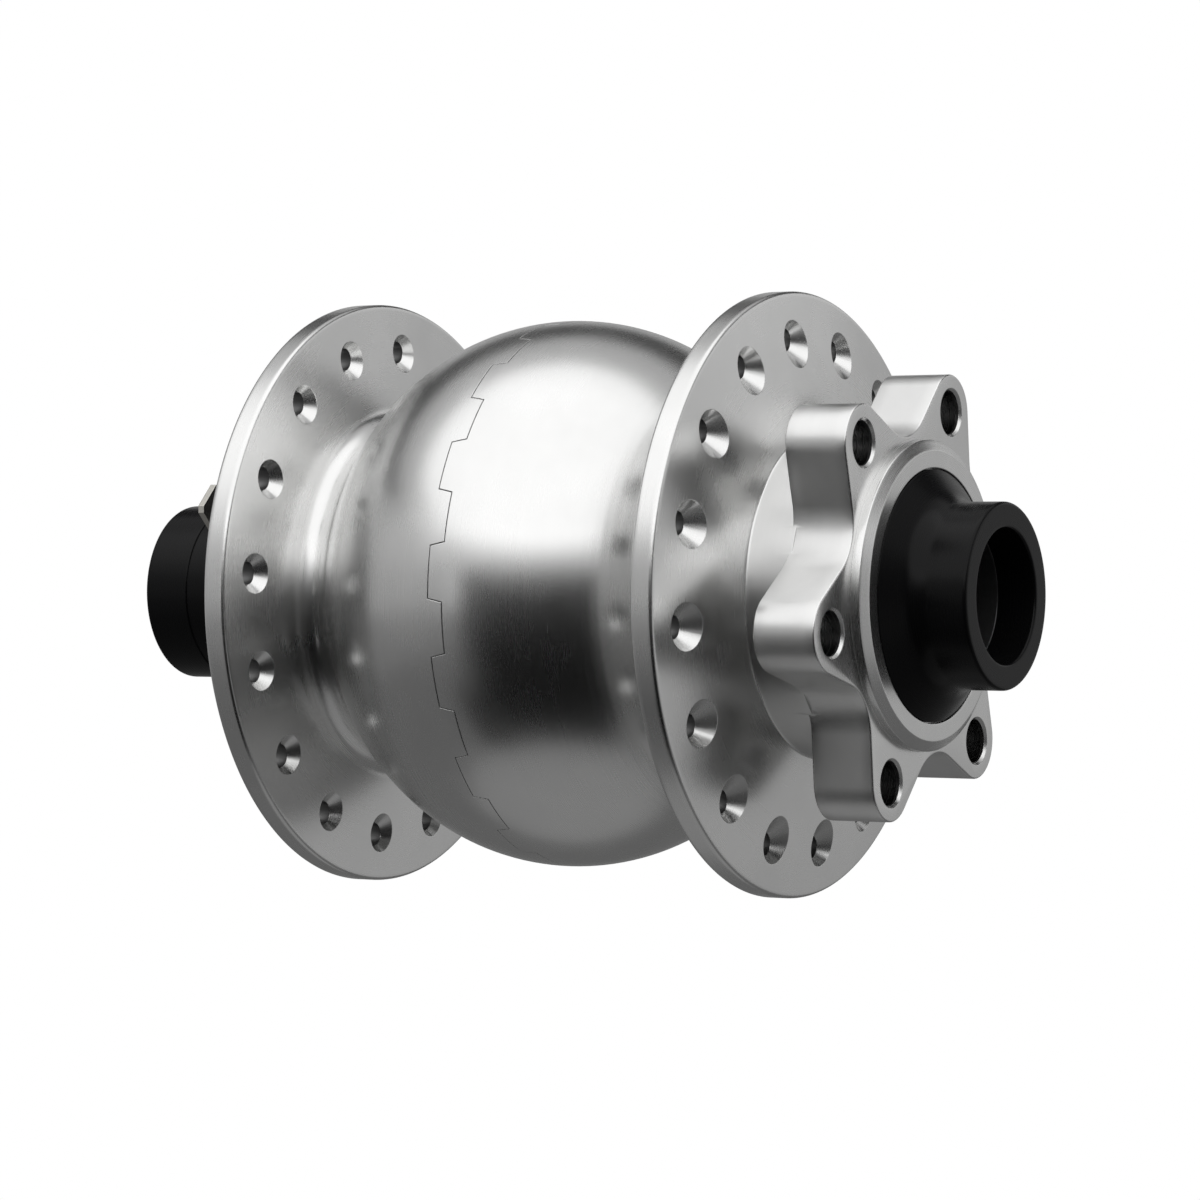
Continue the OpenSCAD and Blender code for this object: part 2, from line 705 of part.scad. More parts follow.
module right_end_cap() {
    hub_r = inner_land_r(right_bore_d, right_od, right_ball_d);
    run = [skirt_r - cap_r, skirt_edge_y - cone_top_y];
    lean = atan2(-run[1], run[0]);
    touch = cone_fillet_r*tan((90 - lean)/2);
    foot = [cap_r, cone_top_y] + touch*[cos(lean), -sin(lean)];
    color("#1b1b1d") along_hub() rotate_extrude() difference() {
        polygon([[0, right_face_y + press_gap], [hub_r, right_face_y + press_gap], [hub_r, skirt_back_y],
            [skirt_r, skirt_back_y], [skirt_r, skirt_edge_y], foot, [cap_r, cone_top_y + touch],
            [cap_r, end_y - cap_edge], [cap_r - cap_edge, end_y], [0, end_y]]);
        translate([cap_r + cone_fillet_r, cone_top_y + touch]) circle(r = cone_fillet_r);
        cap_bore_section();
    }
}

module left_end_cap() {
    r = contact_ring_d/2;
    step_y = end_y - recess_depth;
    color("#1b1b1d") along_hub() mirror([0, 0, 1]) rotate_extrude() difference() {
        polygon([[0, left_cap_y], [r, left_cap_y], [r, step_y], [cap_r, step_y],
            [cap_r, end_y - cap_edge], [cap_r - cap_edge, end_y], [0, end_y]]);
        cap_bore_section();
    }
}

module o_ring() {
    rotate_extrude() translate([o_ring_mid_r, o_ring_y]) circle(r = o_ring_r, $fn = 32);
}

module right_o_ring() {
    color("#262626") along_hub() o_ring();
}

module left_o_ring() {
    color("#262626") along_hub() mirror([0, 0, 1]) o_ring();
}

// Half section of the groove that the balls run in, about a bearing's middle
module groove_section(bore, od, ball) {
    translate([pitch_r(bore, od), 0]) circle(d = ball + 2*ball_gap, $fn = 64);
}

module inner_race(bore, od, w, ball) {
    rotate_extrude() difference() {
        translate([bore/2, -w/2]) square([inner_land_r(bore, od, ball) - bore/2, w]);
        groove_section(bore, od, ball);
    }
}

module outer_race(bore, od, w, ball) {
    r = outer_land_r(bore, od, ball);
    rotate_extrude() difference() {
        translate([r, -w/2]) square([od/2 - press_gap - r, w]);
        groove_section(bore, od, ball);
    }
}

// The two seals of a bearing, held in the outer race with their lips close to the inner one
module seals(bore, od, w, ball) {
    t = 0.5;
    inset = 0.15;
    lip_gap = 0.08;
    for (y = [inset - w/2, w/2 - inset - t])
        ring(inner_land_r(bore, od, ball) + lip_gap, outer_land_r(bore, od, ball) - press_gap, y, y + t);
}

module balls(bore, od, ball, count) {
    for (k = [0:count - 1]) at(k*360/count, pitch_r(bore, od)) sphere(d = ball, $fn = 48);
}

// A one-piece cage with a round pocket for each ball
module cage(bore, od, ball, count) {
    cage_half = cage_share*ball;
    thick = land_share*ball - cage_gap;
    difference() {
        ring(pitch_r(bore, od) - thick, pitch_r(bore, od) + thick, -cage_half, cage_half);
        for (k = [0:count - 1]) at(k*360/count, pitch_r(bore, od) - thick - over) rotate([0, 90, 0])
            cylinder(h = 2*thick + 2*over, d = ball + 2*pocket_gap, $fn = 32);
    }
}

// Places a piece in the middle of the connector side's or the disc side's bearing
module left_place() {
    along_hub() translate([0, 0, -left_mid_y]) children();
}

module right_place() {
    along_hub() translate([0, 0, right_mid_y]) children();
}

module left_inner_race() {
    color("gainsboro") left_place() inner_race(left_bore_d, left_od, left_w, left_ball_d);
}

module right_inner_race() {
    color("gainsboro") right_place() inner_race(right_bore_d, right_od, right_w, right_ball_d);
}

module left_outer_race() {
    color("gainsboro") left_place() outer_race(left_bore_d, left_od, left_w, left_ball_d);
}

module right_outer_race() {
    color("gainsboro") right_place() outer_race(right_bore_d, right_od, right_w, right_ball_d);
}

module left_bearing_seals() {
    color("#2a2a2a") left_place() seals(left_bore_d, left_od, left_w, left_ball_d);
}

module right_bearing_seals() {
    color("#2a2a2a") right_place() seals(right_bore_d, right_od, right_w, right_ball_d);
}

module left_ball_cage() {
    color("peru") left_place() cage(left_bore_d, left_od, left_ball_d, left_balls);
}

module right_ball_cage() {
    color("peru") right_place() cage(right_bore_d, right_od, right_ball_d, right_balls);
}

module left_bearing_balls() {
    color("white") left_place() balls(left_bore_d, left_od, left_ball_d, left_balls);
}

module right_bearing_balls() {
    color("white") right_place() balls(right_bore_d, right_od, right_ball_d, right_balls);
}

axle_tube();
right_end_cap();
left_end_cap();
right_o_ring();
left_o_ring();
contact_ring();
live_spade();
return_spade();
live_lead();
return_lead();
left_inner_race();
right_inner_race();
left_spacer();
stator_nut();
stator_key();
stator_core();
left_claw_pole();
right_claw_pole();
coil_bobbin();
coil_winding();
left_shell();
right_shell();
flux_ring();
magnets();
left_outer_race();
right_outer_race();
left_bearing_seals();
right_bearing_seals();
left_ball_cage();
left_bearing_balls();
right_ball_cage();
right_bearing_balls();
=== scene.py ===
"""The look of a bicycle hub dynamo: its finishes, a turned shell and end caps, threads, and a studio."""

import json
import math

import bmesh
import bpy
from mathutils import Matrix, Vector


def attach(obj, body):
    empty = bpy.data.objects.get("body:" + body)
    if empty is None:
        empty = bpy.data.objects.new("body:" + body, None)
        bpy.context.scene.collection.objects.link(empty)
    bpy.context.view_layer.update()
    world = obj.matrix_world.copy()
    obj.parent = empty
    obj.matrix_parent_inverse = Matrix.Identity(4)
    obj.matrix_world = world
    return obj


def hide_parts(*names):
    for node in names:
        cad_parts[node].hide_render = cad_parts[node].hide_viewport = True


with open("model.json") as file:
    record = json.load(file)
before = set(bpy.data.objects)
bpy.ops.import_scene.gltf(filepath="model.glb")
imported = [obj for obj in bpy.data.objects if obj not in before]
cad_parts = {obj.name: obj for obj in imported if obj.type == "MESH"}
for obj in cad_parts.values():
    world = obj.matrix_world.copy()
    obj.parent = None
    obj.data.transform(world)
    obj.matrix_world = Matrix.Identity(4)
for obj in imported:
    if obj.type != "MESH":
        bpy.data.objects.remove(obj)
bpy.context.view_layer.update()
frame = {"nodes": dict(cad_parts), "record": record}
nodes = frame["nodes"]

MM = 0.001
UM = 0.000001

# Camera, solved from the spoke holes and the disc bolt holes of the photograph
CAMERA_AZIMUTH = 120.445
CAMERA_ELEVATION = 0.651
CAMERA_DISTANCE = 521.65 * MM
CAMERA_AIM = Vector((0.0, 2.717, -0.723)) * MM
CAMERA_LENS = 134.13
SENSOR_WIDTH = 36.0

# Sizes of the shell in millimetres, as in the part's source.
# A half section's points are radius and distance from the hub's middle.
BARREL_R = 31.85
BARREL_ARC_R = 27.4
ARC_X = BARREL_R - BARREL_ARC_R
SHELL_WALL = 2.6
NECK_FILLET_R = 2.1
NECK_Y = 25.6
FILLET_Y = NECK_Y - NECK_FILLET_R
FILLET_X = ARC_X + math.sqrt((BARREL_ARC_R + NECK_FILLET_R) ** 2 - FILLET_Y ** 2)
FLANGE_R = 34.45
RIM_EDGE_R = 0.4
RIM_IN_Y = 26.6
RIM_OUT_Y = 29.3
BOSS_R = 18.4
BOSS_Y = 32.0
BOSS_FOOT_R = 0.3
RING_SEAT_R = 27.96
RING_HALF = 10.0
TUNNEL_R = 14.5
RIGHT_TUNNEL_END = 36.0
LEFT_TUNNEL_END = 31.2

# Ends of the two halves, each point with its rounding: the rim, then the bearing's seat
CENTRING_RING = [(17.45, 45.5, 0.15), (16.25, 46.2, 0.15), (14.3, 46.2, 0.12), (14.3, 45.2, 0.0)]
RIGHT_SEAT = [(13.0, 45.2, 0.0), (13.0, 40.2, 0.0), (11.5, 40.2, 0.0), (11.5, RIGHT_TUNNEL_END, 0.0)]
LEFT_RIM = [(BOSS_R, 39.2, 0.25), (16.3, 39.2, 0.12), (16.3, 38.2, 0.0)]
LEFT_SEAT = [(16.0, 38.2, 0.0), (16.0, LEFT_TUNNEL_END, 0.0)]

# Half sections of the end caps
RIGHT_CAP = [(8.53, 45.22, 0.0), (10.074, 45.22, 0.0), (10.074, 45.5, 0.0), (14.15, 45.5, 0.0),
             (14.15, 46.15, 0.12), (10.5, 48.8, 3.0), (10.5, 55.0, 0.4)]
LEFT_CAP = [(8.53, 46.3, 0.0), (10.35, 46.3, 0.1), (10.35, 49.0, 0.0), (10.5, 49.0, 0.1), (10.5, 55.0, 0.4)]
CAP_BORE = [(7.6, 55.0, 0.3), (7.6, 50.35, 0.0), (8.53, 50.35, 0.0), (8.53, 48.9, 0.0), (9.42, 48.9, 0.0),
            (9.42, 47.7, 0.0), (8.53, 47.7, 0.0)]

# Spoke holes of each flange, the angle of the first one, and the countersinks at their ends
SPOKES = 16
SPOKE_PITCH = 360.0 / SPOKES
RIGHT_PHASE = 6.4
LEFT_PHASE = RIGHT_PHASE + SPOKE_PITCH / 2
SPOKE_CIRCLE_R = 29.0
SPOKE_HOLE_R = 1.3
SINK_OUTER_R = 2.65
SINK_INNER_R = 2.3

# The seam's teeth, as many as a flange has spoke holes
TOOTH_DEPTH = 1.8
TOOTH_LEAN = 0.4
TOOTH_HALF_W = BARREL_R * math.sin(math.radians(90.0 / SPOKES))
SEAM_LOW = -0.7
SEAM_HIGH = 1.1
SEAM_GAP = 0.1

# The star of lobes that carries the brake disc
BOLTS = 6
BOLT_CIRCLE_R = 22.0
BOLT_PHASE = -19.8
BOLT_CHAMFER = 0.3
LOBE_BACK_Y = 37.0
LOBE_FRONT_Y = 44.5
LOBE_REACH_R = 26.3
LOBE_TIP_R = 4.5
LOBE_EDGE_R = 0.22
VALLEY_BOTTOM_R = 18.15
VALLEY_R = 6.4

# How the star joins the turned shell: the shell reaches into it from behind and from within, and the star's
# bore stays inside the shell's wall, clear of the bearing
STAR_LAP = 0.5
STAR_COVER = 0.7
STAR_BORE_R = 15.0

# Threads, and what they leave plain at the back and at both ends together
THREAD_R = 2.5
THREAD_PITCH = 0.8
THREAD_DEPTH = 0.43
THREAD_BACK_GAP = 0.5
THREAD_END_GAPS = 1.3

# The thread's ridge: half widths of its foot and crest as shares of the pitch, how far the foot is sunk into
# the wall as a share of the depth, and the steps to a turn
RIDGE_FOOT = 0.44
RIDGE_CREST = 0.08
RIDGE_SUNK = 0.08
RIDGE_STEPS = 28

# How far a cut runs clear past a face
OVER = 1.0

# Faces round a turned piece, and steps along the arcs of the shell's half section
SHELL_STEPS = 320
CAP_STEPS = 160
BARREL_STEPS = 26
FILLET_STEPS = 12
CAVITY_STEPS = 8
RING_STEPS = 5
CAP_CORNER_STEPS = 8

# Which faces are a hole's wall: how far they may lean, their distance from the hole's axis as shares of its
# radius, and how squarely they face it
WALL_LEAN = 0.2
WALL_NEAR = 0.97
WALL_FAR = 1.01
WALL_FACING = 0.9

# Which faces are a milled side: how far they may lean, and how far inside the boss's radius they may lie
SIDE_LEAN = 0.5
SIDE_ROOM = 0.5


def direction(azimuth, elevation):
    """Unit vector towards an azimuth and elevation in degrees: azimuth 0 is -Y and 90 is +X."""
    a = math.radians(azimuth)
    e = math.radians(elevation)
    return Vector((math.sin(a) * math.cos(e), -math.cos(a) * math.cos(e), math.sin(e)))


def around(angle, radius, y, sideways=0.0):
    """A point in metres from its angle about the hub's axis, radius and place along it. 0 is up, 90 is +X."""
    a = math.radians(angle)
    x = radius * math.sin(a) + sideways * math.cos(a)
    z = radius * math.cos(a) - sideways * math.sin(a)
    return Vector((x, y, z)) * MM


# Node helpers for the materials


def add(tree, kind, **values):
    """Adds a shader node and sets its properties."""
    node = tree.nodes.new(kind)
    for name, value in values.items():
        setattr(node, name, value)
    return node


def feed(tree, socket, source):
    """Joins a socket to another one, or sets it to a plain value."""
    if isinstance(source, bpy.types.NodeSocket):
        tree.links.new(source, socket)
    else:
        socket.default_value = source


def maths(tree, operation, *sources):
    """Adds a Math node and returns its result."""
    node = add(tree, "ShaderNodeMath", operation=operation)
    for socket, source in zip(node.inputs, sources):
        feed(tree, socket, source)
    return node.outputs[0]


def ramp(tree, value, low, high, to_low=0.0, to_high=1.0):
    """Maps a value from one range to another and holds it there."""
    node = add(tree, "ShaderNodeMapRange")
    for socket, source in zip(node.inputs, (value, low, high, to_low, to_high)):
        feed(tree, socket, source)
    return node.outputs["Result"]


def new_group(name, inputs, outputs):
    """A shader node group with named number inputs and outputs."""
    tree = bpy.data.node_groups.new(name, "ShaderNodeTree")
    for label, value in inputs.items():
        socket = tree.interface.new_socket(label, in_out="INPUT", socket_type="NodeSocketFloat")
        socket.default_value = value
    for label in outputs:
        tree.interface.new_socket(label, in_out="OUTPUT", socket_type="NodeSocketFloat")
    return tree, add(tree, "NodeGroupInput").outputs, add(tree, "NodeGroupOutput").inputs


def noise(tree, vector, scale, detail, roughness):
    """Adds a Noise Texture and returns its grey value."""
    node = add(tree, "ShaderNodeTexNoise")
    feed(tree, node.inputs["Vector"], vector)
    feed(tree, node.inputs["Scale"], scale)
    node.inputs["Detail"].default_value = detail
    node.inputs["Roughness"].default_value = roughness
    return node.outputs["Fac"]


# Coarser patterns as shares of a group's fineness, and how far the rings of the lathe stray round the axis
BAND_SHARE = 0.12
CLOUD_SHARE = 0.02
STREAK_SHARE = 0.02


def turned_grain():
    """Rings left by the lathe: noise over the radius and the place along the hub's axis."""
    tree, given, out = new_group("turned grain", {"Fineness": 4000.0, "Streaks": 0.3}, ("Grain", "Bands"))
    place = add(tree, "ShaderNodeTexCoord").outputs["Object"]
    split = add(tree, "ShaderNodeSeparateXYZ")
    feed(tree, split.inputs[0], place)
    across = maths(tree, "POWER", split.outputs["X"], 2.0)
    up = maths(tree, "POWER", split.outputs["Z"], 2.0)
    radius = maths(tree, "SQRT", maths(tree, "ADD", across, up))
    rings = add(tree, "ShaderNodeCombineXYZ")
    feed(tree, rings.inputs["X"], radius)
    feed(tree, rings.inputs["Y"], split.outputs["Y"])
    streak = add(tree, "ShaderNodeVectorMath", operation="SCALE")
    feed(tree, streak.inputs[0], place)
    feed(tree, streak.inputs["Scale"], maths(tree, "MULTIPLY", given["Streaks"], STREAK_SHARE))
    joined = add(tree, "ShaderNodeVectorMath", operation="ADD")
    feed(tree, joined.inputs[0], rings.outputs[0])
    feed(tree, joined.inputs[1], streak.outputs[0])
    feed(tree, out["Grain"], noise(tree, joined.outputs[0], given["Fineness"], detail=3.0, roughness=0.6))
    coarse = maths(tree, "MULTIPLY", given["Fineness"], BAND_SHARE)
    feed(tree, out["Bands"], noise(tree, joined.outputs[0], coarse, detail=2.0, roughness=0.5))
    return tree


def speckle():
    """Fine even speckle of an etched or moulded skin, with slow clouds under it."""
    tree, given, out = new_group("speckle", {"Fineness": 5000.0}, ("Specks", "Clouds"))
    place = add(tree, "ShaderNodeTexCoord").outputs["Object"]
    feed(tree, out["Specks"], noise(tree, place, given["Fineness"], detail=1.0, roughness=0.5))
    slow = maths(tree, "MULTIPLY", given["Fineness"], CLOUD_SHARE)
    feed(tree, out["Clouds"], noise(tree, place, slow, detail=3.0, roughness=0.55))
    return tree


GRAIN = turned_grain()
SPECKLE = speckle()

# The lathe's rings to a metre, the parts of the noise's range that are used, how far the shade strays, the
# lowest roughness, and the samples of a softened edge
GRAIN_FINENESS = 6000.0
SLOW_RANGE = (0.3, 0.7)
GRAIN_RANGE = (0.25, 0.75)
SHADE_SPREAD = 0.04
SMOOTHEST = 0.02
BEVEL_SAMPLES = 6


def place_group(tree, group, **values):
    """Places a shader node group with its own values and returns its outputs."""
    node = add(tree, "ShaderNodeGroup", node_tree=group)
    for name, value in values.items():
        node.inputs[name].default_value = value
    return node.outputs


def surface(name, colour, rough, metal=0.0, grain=0.0, specks=0.0, spread=0.02, clouds=0.05, coat=0.0,
            specular=0.5, edge=0.0):
    """A turned or moulded surface. grain and specks are bump depths in metres; spread and clouds vary the
    gloss finely and slowly; edge rounds the look of sharp edges by that radius."""
    made = bpy.data.materials.new(name)
    made.use_nodes = True
    tree = made.node_tree
    shader = tree.nodes["Principled BSDF"]
    shader.inputs["Metallic"].default_value = metal
    shader.inputs["Coat Weight"].default_value = coat
    shader.inputs["Specular IOR Level"].default_value = specular
    rings = place_group(tree, GRAIN, Fineness=GRAIN_FINENESS)
    skin = place_group(tree, SPECKLE)
    shade = ramp(tree, skin["Clouds"], *SLOW_RANGE, 1.0 - SHADE_SPREAD, 1.0 + SHADE_SPREAD)
    banded = ramp(tree, rings["Bands"], *SLOW_RANGE, 1.0 - spread / 3, 1.0 + spread / 3)
    shade = maths(tree, "MULTIPLY", shade, banded)
    tint = add(tree, "ShaderNodeVectorMath", operation="SCALE")
    tint.inputs[0].default_value = colour
    feed(tree, tint.inputs["Scale"], shade)
    feed(tree, shader.inputs["Base Color"], tint.outputs[0])
    low = max(rough - spread, SMOOTHEST)
    gloss = ramp(tree, rings["Grain"], *GRAIN_RANGE, low, rough + spread)
    cloudy = ramp(tree, skin["Clouds"], *SLOW_RANGE, 1.0 - clouds, 1.0 + clouds)
    feed(tree, shader.inputs["Roughness"], maths(tree, "MULTIPLY", gloss, cloudy))
    normal = None
    if edge:
        soft = add(tree, "ShaderNodeBevel", samples=BEVEL_SAMPLES)
        soft.inputs["Radius"].default_value = edge
        normal = soft.outputs["Normal"]
    for height, depth in ((rings["Grain"], grain), (skin["Specks"], specks)):
        if depth:
            bump = add(tree, "ShaderNodeBump")
            bump.inputs["Strength"].default_value = 1.0
            bump.inputs["Distance"].default_value = depth
            feed(tree, bump.inputs["Height"], height)
            if normal:
                feed(tree, bump.inputs["Normal"], normal)
            normal = bump.outputs["Normal"]
    if normal:
        feed(tree, shader.inputs["Normal"], normal)
    return made


# One finish for each material slot of the record
MATERIALS = {
    "shell_alloy": surface("satin alloy", (0.77, 0.77, 0.765), 0.27, metal=1.0, grain=0.015 * UM,
                           specks=0.3 * UM, spread=0.01, clouds=0.06, edge=0.12 * MM),
    "axle_alloy": surface("dark axle anodising", (0.24, 0.24, 0.245), 0.3, metal=0.9, grain=0.2 * UM,
                          spread=0.03, edge=0.1 * MM),
    "black_alloy": surface("black anodising", (0.004, 0.004, 0.0044), 0.27, grain=0.05 * UM,
                           specks=0.15 * UM, specular=0.14, edge=0.1 * MM),
    "contact_plastic": surface("black moulding", (0.008, 0.008, 0.009), 0.4, specks=1.5 * UM, spread=0.03,
                               specular=0.3, edge=0.1 * MM),
    "contact_metal": surface("tinned brass", (0.72, 0.7, 0.65), 0.22, metal=1.0, specks=0.5 * UM,
                             spread=0.03, edge=0.08 * MM),
    "ring_rubber": surface("ring rubber", (0.012, 0.012, 0.012), 0.55, specks=2.0 * UM, spread=0.05),
    "seal_rubber": surface("seal rubber", (0.02, 0.02, 0.02), 0.5, grain=0.5 * UM, specks=2.0 * UM,
                           spread=0.05),
    "bearing_steel": surface("ground bearing steel", (0.62, 0.62, 0.63), 0.14, metal=1.0, grain=0.1 * UM),
    "cage_polymer": surface("cage polymer", (0.5, 0.4, 0.24), 0.45, specks=2.0 * UM, spread=0.05),
    "turned_steel": surface("turned steel", (0.5, 0.5, 0.51), 0.3, metal=1.0, grain=0.5 * UM, spread=0.05),
    "magnetic_steel": surface("soft magnetic steel", (0.42, 0.43, 0.45), 0.4, metal=1.0, grain=0.5 * UM,
                              specks=1.0 * UM, spread=0.05),
    "magnet": surface("nickel-plated magnet", (0.6, 0.58, 0.54), 0.28, metal=1.0, specks=0.5 * UM,
                      spread=0.04),
    "bobbin_plastic": surface("bobbin plastic", (0.78, 0.75, 0.66), 0.45, specks=2.0 * UM, spread=0.05),
    "copper": surface("enamelled copper", (0.66, 0.27, 0.12), 0.3, metal=1.0, grain=4.0 * UM, spread=0.05,
                      coat=0.5),
    "red_insulation": surface("red insulation", (0.5, 0.03, 0.02), 0.45, specks=1.0 * UM, spread=0.05),
    "black_insulation": surface("black insulation", (0.02, 0.02, 0.02), 0.45, specks=1.0 * UM, spread=0.05),
}

# Single faces within the shell's alloy get their own finishes. The tapped thread's and the drilled walls'
# dark grey is painted shade inside the holes.
THREAD_PAINTED_SHADE = surface("tapped thread with painted shade", (0.33, 0.33, 0.33), 0.22, metal=1.0, specks=0.5 * UM, spread=0.03)
HOLE_WALL_PAINTED_SHADE = surface("drilled wall with painted shade", (0.2, 0.2, 0.2), 0.4, metal=1.0, specks=0.5 * UM, spread=0.03)
MILLED_FINISH = surface("milled alloy", (0.76, 0.76, 0.755), 0.37, metal=1.0, grain=0.03 * UM,
                        specks=0.5 * UM, spread=0.03, clouds=0.16, edge=0.12 * MM)


def dress_cad_nodes():
    """Gives each CAD node the material of its slot in the record."""
    for part in frame["record"]["subparts"]:
        mesh = nodes[part["node"]].data
        mesh.materials.clear()
        mesh.materials.append(MATERIALS[part["material_slot"]])


# Half sections and the meshes turned from them


def barrel_at(y, arc_r):
    """Radius of the barrel's round profile at a place along the axis."""
    return ARC_X + math.sqrt(arc_r ** 2 - y ** 2)


def arc_points(arc_r, start, end, steps):
    """Points of the barrel's round profile between two places along the axis."""
    found = []
    for k in range(steps + 1):
        y = start + (end - start) * k / steps
        found.append((barrel_at(y, arc_r), y, 0.0))
    return found


def rounded(corners, steps=5):
    """A closed line through corners (radius, y, rounding), with an arc at each corner that is rounded."""
    line = []
    count = len(corners)
    for k in range(count):
        here = Vector(corners[k][:2])
        rounding = corners[k][2]
        if not rounding:
            line.append(here)
            continue
        back = (Vector(corners[k - 1][:2]) - here).normalized()
        ahead = (Vector(corners[(k + 1) % count][:2]) - here).normalized()
        half = back.angle(ahead) / 2
        run = rounding / math.tan(half)
        centre = here + (back + ahead).normalized() * (rounding / math.sin(half))
        first = here + back * run - centre
        last = here + ahead * run - centre
        turn = first.angle_signed(last)
        for i in range(steps + 1):
            t = -turn * i / steps
            line.append(centre + Vector((first.x * math.cos(t) - first.y * math.sin(t),
                                         first.x * math.sin(t) + first.y * math.cos(t))))
    return line


def supported(line, margin=0.3, longest=2.5):
    """Adds points to the long straight runs of a closed line, so that the shading stays flat along them."""
    out = []
    for k, here in enumerate(line):
        ahead = line[(k + 1) % len(line)]
        run = (ahead - here).length
        out.append(here)
        if run < 3 * margin:
            continue
        pieces = max(1, math.ceil((run - 2 * margin) / longest))
        for i in range(pieces + 1):
            out.append(here.lerp(ahead, (margin + (run - 2 * margin) * i / pieces) / run))
    return out


def lathe(name, line, steps, side=1.0):
    """Turns a closed half section about the hub's axis. side -1 makes it for the connector side."""
    rows = len(line)
    corners = []
    for k in range(steps):
        for point in line:
            corners.append(around(360.0 * k / steps, point.x, side * point.y))
    faces = []
    for k in range(steps):
        for i in range(rows):
            a = k * rows
            b = ((k + 1) % steps) * rows
            j = (i + 1) % rows
            faces.append((a + i, a + j, b + j, b + i))
    return solid(name, corners, faces)


def new_object(name, data):
    """Makes an object at the origin and links it to the scene."""
    made = bpy.data.objects.new(name, data)
    bpy.context.scene.collection.objects.link(made)
    return made


def face_outwards(mesh):
    """Points a closed mesh's faces outwards."""
    shape = bmesh.new()
    shape.from_mesh(mesh)
    bmesh.ops.recalc_face_normals(shape, faces=shape.faces)
    shape.to_mesh(mesh)
    shape.free()


def solid(name, corners, faces):
    """An object from the corners and faces of a closed shape."""
    mesh = bpy.data.meshes.new(name)
    mesh.from_pydata(corners, [], faces)
    face_outwards(mesh)
    return new_object(name, mesh)


def stacked(name, corners, count):
    """A closed shape from rings of corners, with count corners to a ring and a flat face at each end."""
    top = len(corners) - count
    faces = []
    for first in range(0, top, count):
        for k in range(count):
            j = (k + 1) % count
            faces.append((first + k, first + j, first + count + j, first + count + k))
    faces.append(tuple(range(count)))
    faces.append(tuple(top + k for k in range(count)))
    return solid(name, corners, faces)


def applied(target, other, operation="DIFFERENCE"):
    """Cuts or joins another object into a piece, and deletes it."""
    change = target.modifiers.new(operation, "BOOLEAN")
    change.operation = operation
    change.solver = "EXACT"
    change.object = other
    graph = bpy.context.evaluated_depsgraph_get()
    mesh = bpy.data.meshes.new_from_object(target.evaluated_get(graph))
    target.modifiers.clear()
    old = target.data
    target.data = mesh
    bpy.data.meshes.remove(old)
    bpy.data.objects.remove(other)


def joined(pieces):
    """Puts separate closed meshes into one object, for a cut in one go."""
    shape = bmesh.new()
    for piece in pieces:
        shape.from_mesh(piece.data)
    mesh = bpy.data.meshes.new("cuts")
    shape.to_mesh(mesh)
    shape.free()
    for piece in pieces:
        bpy.data.objects.remove(piece)
    return new_object("cuts", mesh)


def drill(angle, circle_r, profile, steps=48):
    """A turned cutter that stands parallel to the hub's axis. profile holds (radius, y) from end to end."""
    corners = []
    for radius, y in profile:
        for k in range(steps):
            t = 2 * math.pi * k / steps
            corners.append(around(angle, circle_r + radius * math.cos(t), y, radius * math.sin(t)))
    return stacked("drill", corners, steps)


def wedge(corners):
    """A closed block with eight corners: four below, then the four above them."""
    faces = [(0, 1, 2, 3), (4, 5, 6, 7), (0, 1, 5, 4), (1, 2, 6, 5), (2, 3, 7, 6), (3, 0, 4, 7)]
    return solid("wedge", corners, faces)


def spoke_drills(phase, side):
    """The cutters for one flange's spoke holes, with a countersink at each end."""
    inner = RIM_IN_Y - (RIM_IN_Y - NECK_Y) * (FLANGE_R - SPOKE_CIRCLE_R) / (FLANGE_R - FILLET_X)
    outer = RIM_OUT_Y + (BOSS_Y - RIM_OUT_Y) * (FLANGE_R - SPOKE_CIRCLE_R) / (FLANGE_R - BOSS_R)
    sink_in = SINK_INNER_R - SPOKE_HOLE_R
    sink_out = SINK_OUTER_R - SPOKE_HOLE_R
    profile = [(SINK_INNER_R + OVER, inner - OVER), (SPOKE_HOLE_R, inner + sink_in),
               (SPOKE_HOLE_R, outer - sink_out), (SINK_OUTER_R + OVER, outer + OVER)]
    return [drill(phase + k * SPOKE_PITCH, SPOKE_CIRCLE_R, [(r, side * y) for r, y in profile])
            for k in range(SPOKES)]


def tooth_side(y):
    """Half the width of a tooth of the disc side's half, at a place along the axis."""
    return TOOTH_HALF_W - TOOTH_LEAN / 2 + (y - SEAM_LOW) * TOOTH_LEAN / TOOTH_DEPTH


def tooth_gaps():
    """Cutters for the spaces between the disc side's teeth."""
    low, high = SEAM_LOW - OVER, SEAM_HIGH
    inner, outer = RING_SEAT_R - OVER, BARREL_R + OVER
    cuts = []
    for k in range(SPOKES):
        a = LEFT_PHASE + k * SPOKE_PITCH
        b = a + SPOKE_PITCH
        corners = []
        for y in (low, high):
            w = tooth_side(y)
            corners += [around(a, inner, y, w), around(a, outer, y, w), around(b, outer, y, -w),
                        around(b, inner, y, -w)]
        cuts.append(wedge(corners))
    return cuts


def tooth_sockets():
    """Cutters for the sockets in the connector side's half, with the seam's gap round each tooth."""
    low, high = SEAM_LOW - SEAM_GAP, SEAM_HIGH + OVER
    inner, outer = RING_SEAT_R - OVER, BARREL_R + OVER
    cuts = []
    for k in range(SPOKES):
        a = LEFT_PHASE + k * SPOKE_PITCH
        corners = []
        for y in (low, high):
            w = tooth_side(y) + SEAM_GAP
            corners += [around(a, inner, y, w), around(a, outer, y, w), around(a, outer, y, -w),
                        around(a, inner, y, -w)]
        cuts.append(wedge(corners))
    return cuts


